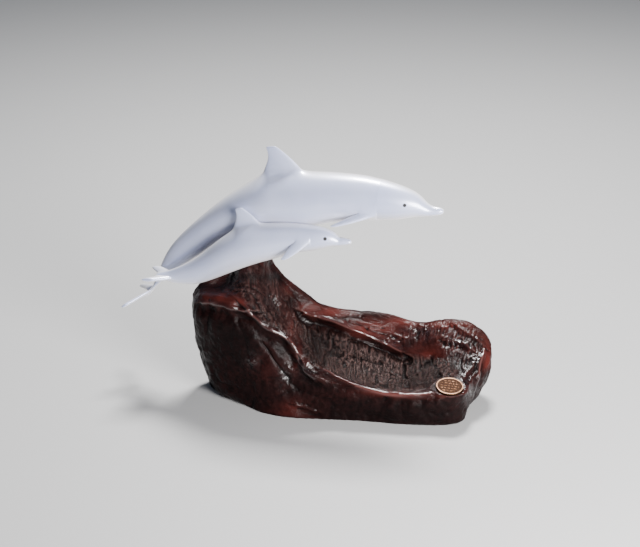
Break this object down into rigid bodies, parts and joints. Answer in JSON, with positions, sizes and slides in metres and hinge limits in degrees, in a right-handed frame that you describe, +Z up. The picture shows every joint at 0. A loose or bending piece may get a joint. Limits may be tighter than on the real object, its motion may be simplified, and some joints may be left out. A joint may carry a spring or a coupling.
{
  "type": "figurine",
  "caption": "Leaping dolphin with its calf, cast in pearly white, seated on the tall end of a carved and lacquered burl wood base with a small copper medallion.",
  "frame": {"origin": "centre of the burl's flat underside, on the surface it stands on", "axes": "+Z up, +X the way both dolphins head, -Y the side with the calf and the medallion"},
  "size_m": [0.2668, 0.0793, 0.1834],
  "materials": {
    "pearl_casting": "satin gloss pearl white paint on cast resin",
    "lacquered_burl": "deep oxblood lacquer on burl wood, glossy on the worn lips and rough in the hollow",
    "aged_copper": "aged copper with a brighter rim"
  },
  "bodies": {
    "root": {"adult_dolphin": "pearl_casting", "calf_dolphin": "pearl_casting", "burl_base": "lacquered_burl", "medallion": "aged_copper"}
  },
  "joints": []
}
